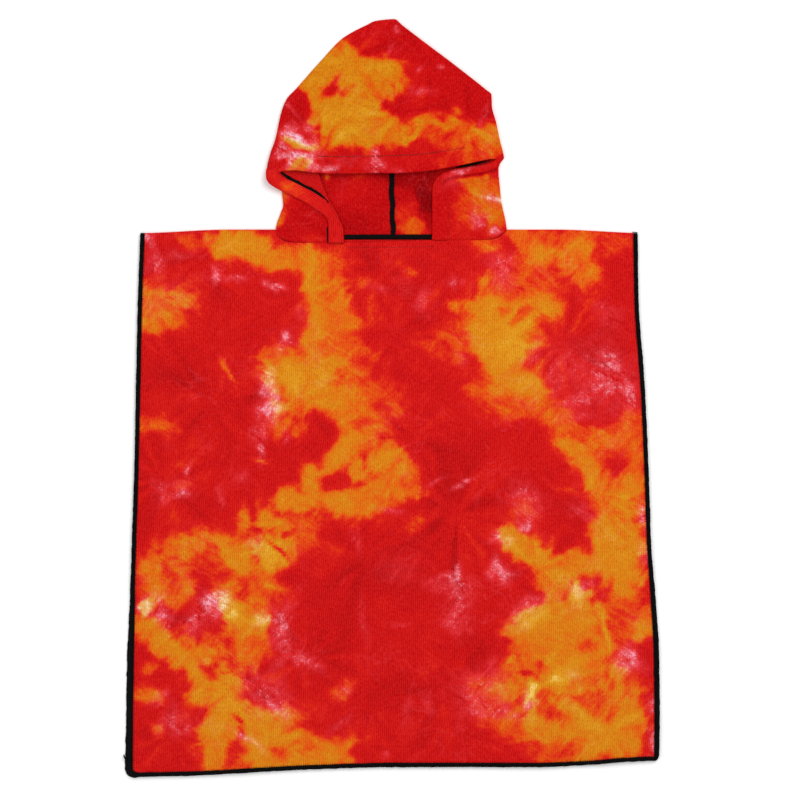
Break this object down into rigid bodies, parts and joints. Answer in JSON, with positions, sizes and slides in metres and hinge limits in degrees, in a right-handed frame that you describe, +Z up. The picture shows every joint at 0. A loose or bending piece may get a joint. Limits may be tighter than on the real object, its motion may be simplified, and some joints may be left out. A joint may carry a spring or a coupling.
{
  "type": "hooded bath poncho",
  "caption": "Hooded bath poncho of dyed terry cloth with black overlocked edges, laid flat with its hood opened out",
  "frame": {"origin": "middle of the garment's footprint, on the surface it lies on", "axes": "+Y towards the point of the hood, +X towards the right of the picture, +Z up, out of the garment's front"},
  "size_m": [0.6257, 0.8864, 0.0122],
  "materials": {
    "terry_dyed": "soft terry nap, dyed in red, orange and gold patches",
    "black_thread": "matt overlock thread"
  },
  "bodies": {
    "root": {"front": "terry_dyed", "back": "terry_dyed", "hood": "terry_dyed", "hood_turned_band": "terry_dyed", "edge_front_left": "black_thread", "edge_front_hem": "black_thread", "edge_front_right": "black_thread", "edge_back_left": "black_thread", "edge_back_hem": "black_thread", "edge_back_right": "black_thread", "seam_hood_back": "black_thread", "seam_neck_back": "black_thread", "seam_hood_hem": "black_thread"}
  },
  "joints": []
}
